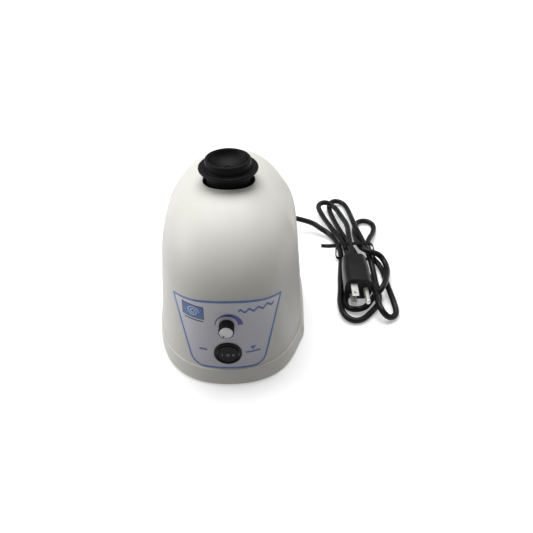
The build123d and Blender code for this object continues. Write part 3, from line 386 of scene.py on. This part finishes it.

# spring under the hub: a merged copy, carried with the rotor
bm = bmesh.new()
bm.from_mesh(nodes["press_spring"].data)
bmesh.ops.remove_doubles(bm, verts=bm.verts, dist=1e-6)
bmesh.ops.recalc_face_normals(bm, faces=bm.faces)
spring = meshPiece("softSpring", bm, finishes["bearing_steel"])
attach(spring, "rotor")
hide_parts("press_spring")
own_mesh(spring)
print("spring copied")

# cup: mixing bowl with its flange, one rubber moulding
cupLook = {
    "profile": [
        (0, 155.0), (14.6, 155.0), (15.0, 154.6), (15.0, 139.5), (15.4, 139.0), (18.0, 139.0),
        (18.5, 139.5), (18.5, 153.2), (18.9, 154.4), (20.4, 155.5), (22.8, 156.6), (24.6, 157.0),
        (25.2, 157.5), (25.4, 158.2), (25.3, 159.0), (24.8, 159.6), (24.0, 159.8), (21.6, 159.2),
        (20.4, 159.0), (19.9, 159.4), (19.7, 160.4), (19.5, 165.3), (19.3, 166.2), (18.8, 166.8),
        (18.0, 167.0), (17.2, 166.9), (16.7, 166.4), (16.3, 165.4), (15.2, 163.6), (13.4, 161.9),
        (11.0, 160.5), (8.2, 159.5), (5.6, 158.8), (3.6, 158.5), (3.0, 158.2), (2.6, 157.5),
        (2.0, 157.2), (0, 157.2),
    ],
    "steps": 96,
}
cupLow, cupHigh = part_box("rubber_cup")
cupCentre = ((cupLow.x + cupHigh.x) / 2, (cupLow.y + cupHigh.y) / 2, 0)
cup = turned(
    "mixingCup", cupLook["profile"], cupCentre, (0, 0, 1), finishes["black_rubber"], cupLook["steps"]
)
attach(cup, "cup_head")
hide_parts("rubber_cup")
print("cup turned")


def surfaceTree(mesh, wanted):
    faces = [tuple(face.vertices) for face in mesh.polygons if wanted(face)]
    return BVHTree.FromPolygons([vertex.co.copy() for vertex in mesh.vertices], faces)


# rounded lip round the plinth's top edge, just inside its outline
lipLook = {
    "height": 0.0162, "radius": 0.0006, "around": 3, "inset": 0.00045, "steps": 144,
    "middle": 0.01, "reach": 0.2,  # rays start this far out and aim at this point on the Y axis
}
panTree = surfaceTree(nodes["base_pan"].data, lambda face: True)
curve = bpy.data.curves.new("plinthLip", "CURVE")
curve.dimensions = "3D"
curve.bevel_depth = lipLook["radius"]
curve.bevel_resolution = lipLook["around"]
line = curve.splines.new("POLY")
line.points.add(lipLook["steps"] - 1)
for step, point in enumerate(line.points):
    turn = 2 * pi * step / lipLook["steps"]
    away = Vector((cos(turn), sin(turn), 0))
    start = Vector((0, lipLook["middle"], lipLook["height"])) + away * lipLook["reach"]
    hit = panTree.ray_cast(start, -away)[0]
    point.co = (*(hit - away * lipLook["inset"]), 1)
line.use_cyclic_u = True
line.use_smooth = True
curve.materials.append(finishes["off_white_abs"])
lip = link("plinthLip", curve)
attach(lip, "root")
print("plinth lip run round")

# printed panel: the film and its inks are dropped along +Y on to the housing's front
filmLook = {
    "lift": 0.0003, "castFrom": -0.2, "usualFront": -0.07, "nudges": (0, 0.00002, -0.00003, 0.00006),
    "seats": [(35, 12.4), (65, 7.8)],  # height and radius of the openings for the switch and the knob
    "beyond": 1.5, "bulge": 0.8,
}
shellTree = surfaceTree(nodes["housing_shell"].data, lambda face: face.normal.y < -0.2 and face.center.y < 0)


def castFront(x, z):
    for nudge in filmLook["nudges"]:  # a ray along a seam can slip between two faces
        start = Vector((x + nudge, filmLook["castFrom"], z + nudge))
        hit = shellTree.ray_cast(start, Vector((0, 1, 0)))[0]
        if hit is not None:
            return hit.y
    return shellTree.find_nearest(Vector((x, filmLook["usualFront"], z)))[0].y


def frontOf(x, z):
    for height, radius in filmLook["seats"]:  # an opening is bridged from one side to the other
        if (x / mm) ** 2 + (z / mm - height) ** 2 < radius**2:
            half = (radius**2 - (z / mm - height) ** 2) ** 0.5
            middle = (castFront(-half * mm, z) + castFront(half * mm, z)) / 2
            bulge = castFront(half * filmLook["beyond"] * mm, z) - middle
            return middle - filmLook["bulge"] * bulge * (1 - (x / mm / half) ** 2)
    return castFront(x, z)


def layOnFilm(bm, lift):
    for vertex in bm.verts:
        vertex.co.y = frontOf(vertex.co.x, vertex.co.z) - filmLook["lift"] - lift
    bmesh.ops.recalc_face_normals(bm, faces=bm.faces)
    towards = sum((face.normal.y for face in bm.faces), 0)
    if towards > 0:
        bmesh.ops.reverse_faces(bm, faces=bm.faces)


inkLook = {"driftScale": 60, "rough": (0.3, 0.4), "grain": 1500, "grainDepth": 0.00002}
inkLifts = (0.00006, 0.00011, 0.00017)  # on the film, on the first ink, on the second


def ink(name, colour, tint):
    return makeFinish(name, {**inkLook, "colour": colour, "tint": tint})


inks = {
    "border": ink("borderInk", (0.075, 0.17, 0.47), (0.13, 0.27, 0.60)),
    "deep": ink("deepInk", (0.05, 0.075, 0.34), (0.07, 0.11, 0.40)),
    "pale": ink("paleInk", (0.55, 0.66, 0.84), (0.63, 0.72, 0.87)),
    "violet": ink("violetInk", (0.15, 0.17, 0.42), (0.19, 0.21, 0.47)),
    "legend": ink("legendInk", (0.30, 0.31, 0.32), (0.38, 0.38, 0.39)),
    "pointer": ink("pointerInk", (0.02, 0.02, 0.02), (0.03, 0.03, 0.03)),
}


def inked(name, bm, colour, lift=inkLifts[0]):
    layOnFilm(bm, lift)
    piece = meshPiece(name, bm, inks[colour])
    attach(piece, "root")


borderLook = {
    "corners": [(-44.6, 85.4), (-30.3, 17.8), (30.3, 17.8), (44.6, 85.4)], "halfTop": 44.6,
    "foot": 9.4, "footSegments": 12, "top": 1.4, "topSegments": 4, "width": 1.7, "long": 10, "cuts": 44,
    "archFrom": 40, "archSpan": 45, "archHigh": 3.6, "archLow": -2.4,
    "grid": 1.6, "columns": range(-28, 29), "rows": range(12, 54),
}


def panelOutline(look):
    bm = bmesh.new()
    corners = [bm.verts.new((x * mm, 0, z * mm)) for x, z in look["corners"]]
    bm.faces.new(corners)
    roundCorners(bm, corners[1:3], look["foot"], look["footSegments"])
    tops = [vertex for vertex in bm.verts if vertex.co.z > look["archFrom"] * mm]
    roundCorners(bm, tops, look["top"], look["topSegments"])
    longEdges = [edge for edge in bm.edges if edge.calc_length() > look["long"] * mm]
    bmesh.ops.subdivide_edges(bm, edges=longEdges, cuts=look["cuts"])
    return bm


def archUp(bm, look):  # the film's top edge is arched, so it looks flatter on the round front
    for vertex in bm.verts:
        share = (vertex.co.z / mm - look["archFrom"]) / look["archSpan"]
        if share > 0:
            across = (vertex.co.x / mm / look["halfTop"]) ** 2
            rise = look["archHigh"] + (look["archLow"] - look["archHigh"]) * across
            vertex.co.z += share * share * rise * mm


def panelFilm(look):
    bm = panelOutline(look)
    cuts = [((step * look["grid"] * mm, 0, 0), (1, 0, 0)) for step in look["columns"]]
    cuts += [((0, 0, step * look["grid"] * mm), (0, 0, 1)) for step in look["rows"]]
    for place, facing in cuts:
        geom = bm.verts[:] + bm.edges[:] + bm.faces[:]
        bmesh.ops.bisect_plane(bm, geom=geom, dist=1e-7, plane_co=place, plane_no=facing)
    archUp(bm, look)
    return bm


def borderRing(look):
    bm = panelOutline(look)
    hollowFace(bm, look["width"])
    archUp(bm, look)
    return bm


bm = panelFilm(borderLook)
layOnFilm(bm, 0)
film = meshPiece("panelFilm", bm, finishes["overlay"])
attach(film, "root")
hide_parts("front_label")
inked("panelBorder", borderRing(borderLook), "border")


def sweptEdge(centre, near, far, angle, steps):  # a radial edge swept round the centre, in millimetres
    bm = bmesh.new()
    x, z = centre
    start, end = [bm.verts.new(((x + reach) * mm, 0, z * mm)) for reach in (near, far)]
    edge = bm.edges.new((start, end))
    middle = Vector((x * mm, 0, z * mm))
    bmesh.ops.spin(
        bm, geom=[start, end, edge], cent=middle, axis=(0, 1, 0), angle=angle, steps=steps,
        use_duplicate=False,
    )
    return bm, middle


# speed wedge over the knob: a half ring that thickens clockwise
wedgeLook = {"centre": (1.7, 65.2), "outer": 11.4, "band": 1.0, "thin": 0.7, "thick": 4.2, "steps": 44}


def speedWedge(look):
    outer, band = look["outer"], look["band"]
    bm, centre = sweptEdge(look["centre"], band - outer, -outer, pi, look["steps"])
    for vertex in bm.verts:
        arm = vertex.co - centre
        if arm.length < (outer - band / 2) * mm:
            turn = (1 + arm.normalized().x) / 2
            width = look["thin"] + (look["thick"] - look["thin"]) * turn
            vertex.co = centre + arm.normalized() * (outer - width) * mm
    return bm


inked("speedWedge", speedWedge(wedgeLook), "deep")

# corner block: a blue field with a dark edge and a plain spiral, over a plain dark bar
emblemLook = {"low": (-35.6, 69.6), "high": (-18.9, 80.9), "edge": 0.7, "cells": (16, 11)}
spiralLook = {"centre": (-27.25, 75.25), "heart": 0.3, "width": 1.0, "reach": 5.2, "turns": 2, "steps": 120}
barLook = {"low": (-34.8, 66.3), "high": (-18.9, 67.5), "cells": (16, 2)}


def flatField(low, high, cells):
    bm = bmesh.new()
    bmesh.ops.create_grid(bm, x_segments=cells[0], y_segments=cells[1], size=0.5)
    for vertex in bm.verts:
        x = low[0] + (high[0] - low[0]) * (vertex.co.x + 0.5)
        z = low[1] + (high[1] - low[1]) * (vertex.co.y + 0.5)
        vertex.co = Vector((x * mm, 0, z * mm))
    return bm


def spiral(look):  # a ring whose radius grows along the sweep
    heart, width = look["heart"], look["width"]
    bm, centre = sweptEdge(look["centre"], heart, heart + width, 2 * pi * look["turns"], look["steps"])
    pairs = len(bm.verts) / 2
    for index, vertex in enumerate(bm.verts):
        growth = (index // 2) / pairs * (look["reach"] - width) * mm
        arm = vertex.co - centre
        vertex.co = centre + arm.normalized() * (arm.length + growth)
    return bm


grow = emblemLook["edge"]
edgeLow = (emblemLook["low"][0] - grow, emblemLook["low"][1] - grow)
edgeHigh = (emblemLook["high"][0] + grow, emblemLook["high"][1] + grow)
inked("emblemEdge", flatField(edgeLow, edgeHigh, emblemLook["cells"]), "pointer")
emblemField = flatField(emblemLook["low"], emblemLook["high"], emblemLook["cells"])
inked("emblemField", emblemField, "border", inkLifts[1])
inked("emblemSpiral", spiral(spiralLook), "pale", inkLifts[2])
inked("emblemBar", flatField(barLook["low"], barLook["high"], barLook["cells"]), "pointer")

# a wavy rule stands for the machine's motion
waveLook = {"low": (9.5, 77.6), "high": (38.0, 79.9), "cells": (96, 2), "rise": 1.3, "turns": 4}


def wave(look):
    bm = flatField(look["low"], look["high"], look["cells"])
    width = (look["high"][0] - look["low"][0]) * mm
    for vertex in bm.verts:
        turn = (vertex.co.x - look["low"][0] * mm) / width * look["turns"] * 2 * pi
        vertex.co.z += sin(turn) * look["rise"] * mm
    return bm


inked("waveRule", wave(waveLook), "border")

# switch positions: a plain dash for running, an arrow down on a bar for press-to-run
markLook = {
    "dash": (-20.6, 37.6, 6.6, 2.2), "bar": (21.0, 35.0, 12.0, 1.9), "arrow": (21.0, 39.4, 3.0),
    "cells": (10, 2),
}


def dash(place):
    x, z, width, height = place
    low, high = (x - width / 2, z - height / 2), (x + width / 2, z + height / 2)
    return flatField(low, high, markLook["cells"])


def arrow(place):
    x, z, reach = place
    bm = bmesh.new()
    bmesh.ops.create_circle(bm, cap_ends=True, segments=3, radius=reach * mm)
    bm.verts.ensure_lookup_table()
    tip = bm.verts[0].co
    rotateAll(bm, -pi / 2 - atan2(tip.y, tip.x), "Z")
    rotateAll(bm, pi / 2, "X")
    bmesh.ops.translate(bm, verts=bm.verts, vec=(x * mm, 0, z * mm))
    return bm


inked("runMark", dash(markLook["dash"]), "violet")
inked("pressBar", dash(markLook["bar"]), "violet")
inked("pressArrow", arrow(markLook["arrow"]), "violet")
print("panel printed")

# legends on the rocker's flat face
rockerLook = {
    "legends": [("I", -4.6), ("O", 0.0), ("II", 4.6)], "drop": 1.2, "lift": 0.05,
    "size": 3.6, "bold": 0.012, "smooth": 5,
}


def wordMesh(text, look):
    curve = bpy.data.curves.new(text, "FONT")
    curve.body = text
    curve.size = look["size"] * mm
    curve.align_x = "CENTER"
    curve.align_y = "CENTER"
    curve.offset = look["size"] * mm * look["bold"]
    curve.resolution_u = look["smooth"]
    holder = link(text + "Curve", curve)
    bpy.context.view_layer.update()
    mesh = bpy.data.meshes.new_from_object(holder.evaluated_get(bpy.context.evaluated_depsgraph_get()))
    bpy.data.objects.remove(holder)
    bm = bmesh.new()
    bm.from_mesh(mesh)
    bpy.data.meshes.remove(mesh)
    bmesh.ops.remove_doubles(bm, verts=bm.verts, dist=1e-7)
    rotateAll(bm, pi / 2, "X")
    return bm


rockerLow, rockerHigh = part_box("switch_rocker")
middle = (rockerLow + rockerHigh) / 2
for text, x in rockerLook["legends"]:
    bm = wordMesh(text, rockerLook)
    centre = (middle.x + x * mm, rockerLow.y - rockerLook["lift"] * mm, middle.z - rockerLook["drop"] * mm)
    bmesh.ops.translate(bm, verts=bm.verts, vec=centre)
    legend = meshPiece("legend" + text, bm, inks["legend"])
    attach(legend, "rocker")
print("rocker marked")

# pointer mark on the knob's cap
pointerLook = {"radius": 0.75, "segments": 20, "longer": 1.5, "reach": 4.1, "angle": 237, "lift": 0.06}
capLow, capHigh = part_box("knob_cap")
bm = bmesh.new()
bmesh.ops.create_circle(
    bm, cap_ends=True, segments=pointerLook["segments"], radius=pointerLook["radius"] * mm
)
bmesh.ops.scale(bm, verts=bm.verts, vec=(1, pointerLook["longer"], 1))
turn = radians(pointerLook["angle"])
rotateAll(bm, turn - pi / 2, "Z")
rotateAll(bm, pi / 2, "X")
middle = (capLow + capHigh) / 2
arm = pointerLook["reach"] * mm
pointerFront = capLow.y - pointerLook["lift"] * mm
pointerPlace = (middle.x + arm * cos(turn), pointerFront, middle.z + arm * sin(turn))
bmesh.ops.translate(bm, verts=bm.verts, vec=pointerPlace)
pointer = meshPiece("knobPointer", bm, inks["pointer"])
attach(pointer, "knob")
print("knob marked")

# stage: a white floor that glows a little, a broad light overhead and a soft one at each side
floorLook = {
    "colour": (0.93, 0.935, 0.94), "tint": (0.95, 0.95, 0.955), "rough": (0.6, 0.7),
    "grain": 300, "grainDepth": 0.00001, "glow": 0.34, "half": 14, "cells": 8,
}
bm = bmesh.new()
cells = floorLook["cells"]
bmesh.ops.create_grid(bm, x_segments=cells, y_segments=cells, size=floorLook["half"])
floor = meshPiece("floor", bm, makeFinish("floorFinish", floorLook))
floor.visible_diffuse = False
glow = floor.data.materials[0].node_tree.nodes["Principled BSDF"]
glow.inputs["Emission Color"].default_value = (1, 1, 1, 1)
glow.inputs["Emission Strength"].default_value = floorLook["glow"]

lights = [
    {"name": "overhead", "place": (-0.1, 0.48, 1.5), "aim": (0, 0.05, 0.05), "size": 1.3, "power": 21},
    {"name": "leftSoft", "place": (-1.3, 0.1, 0.7), "aim": (0, 0, 0.08), "size": 0.9, "power": 8},
    {"name": "rightSoft", "place": (1.2, 0.7, 0.8), "aim": (0.05, 0, 0.08), "size": 0.9, "power": 3},
]
for light in lights:
    data = bpy.data.lights.new(light["name"], "AREA")
    data.size = light["size"]
    data.energy = light["power"]
    lamp = link(light["name"], data)
    lamp.location = light["place"]
    lamp.rotation_euler = (Vector(light["aim"]) - lamp.location).to_track_quat("-Z", "Y").to_euler()

worldLook = {"colour": (1, 1, 1, 1), "strength": 0.22}
world = bpy.data.worlds.new("studio")
scene.world = world
world.use_nodes = True
backdrop = world.node_tree.nodes["Background"]
backdrop.inputs["Color"].default_value = worldLook["colour"]
backdrop.inputs["Strength"].default_value = worldLook["strength"]
scene.view_settings.view_transform = "Standard"
print("stage lit")

# what the cord carries at its free end, and the tie it lies in
plugPieces = [nodes[name] for name in ("plug_body", "plug_blades", "plug_ground_pin")]
plugPieces += [bpy.data.objects["tieRing"], bpy.data.objects["tieTail"]]
